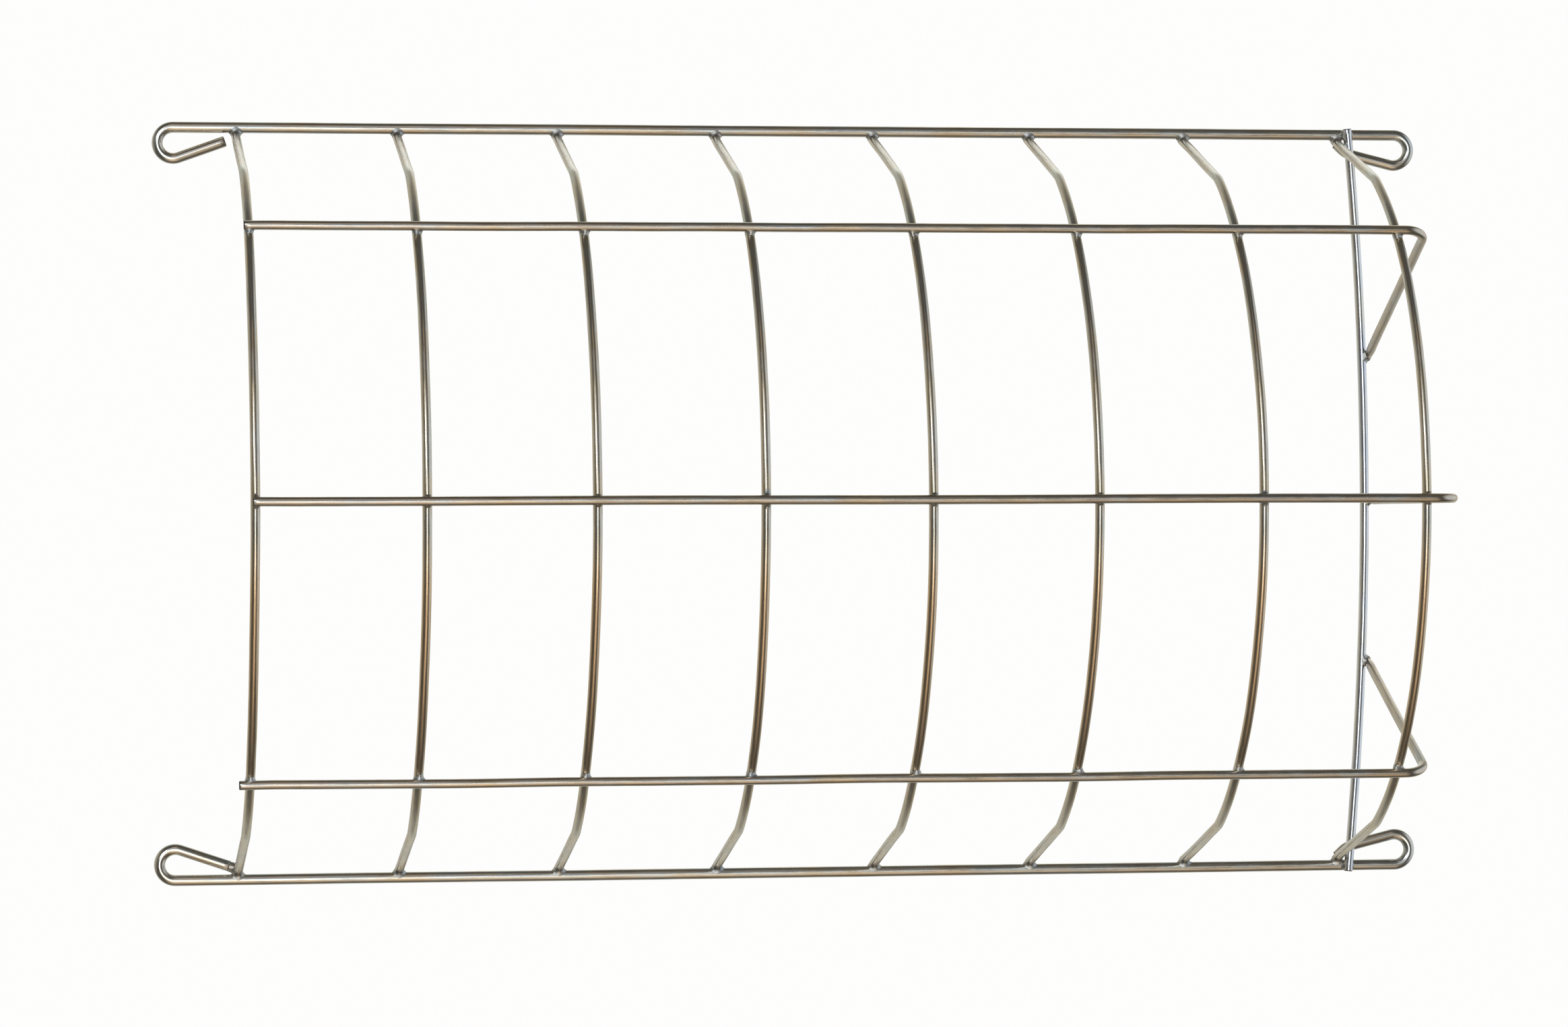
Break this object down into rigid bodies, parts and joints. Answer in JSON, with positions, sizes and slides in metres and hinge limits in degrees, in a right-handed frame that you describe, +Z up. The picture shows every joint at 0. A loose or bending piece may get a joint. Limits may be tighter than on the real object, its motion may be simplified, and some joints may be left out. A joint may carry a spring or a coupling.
{
  "type": "hay rack feeder",
  "caption": "Wall-mounted hay rack of welded zinc-plated wire: bow-shaped ribs on two side rails with fixing eyes, long bars across the front.",
  "frame": {"origin": "on the wall plane, midway between the four fixing eyes", "axes": "+X to the right as seen from the front, +Y into the wall (the front of the basket faces -Y), +Z up towards the open top"},
  "size_m": [0.3556, 0.1741, 0.602],
  "materials": {
    "rail_zinc": "bright zinc plating",
    "rib_zinc": "bright zinc plating",
    "bar_zinc": "bright zinc plating",
    "crossbar_zinc": "bright zinc plating",
    "weld_metal": "zinc plating over weld metal"
  },
  "bodies": {
    "root": {"rail_left": "rail_zinc", "rail_right": "rail_zinc", "rib_1": "rib_zinc", "rib_2": "rib_zinc", "rib_3": "rib_zinc", "rib_4": "rib_zinc", "rib_5": "rib_zinc", "rib_6": "rib_zinc", "rib_7": "rib_zinc", "rib_8": "rib_zinc", "bar_left": "bar_zinc", "bar_middle": "bar_zinc", "bar_right": "bar_zinc", "bottom_crossbar": "crossbar_zinc", "rib_foot_welds": "weld_metal", "rib_bar_welds": "weld_metal", "crossbar_welds": "weld_metal", "eye_tack_welds": "weld_metal"}
  },
  "joints": []
}
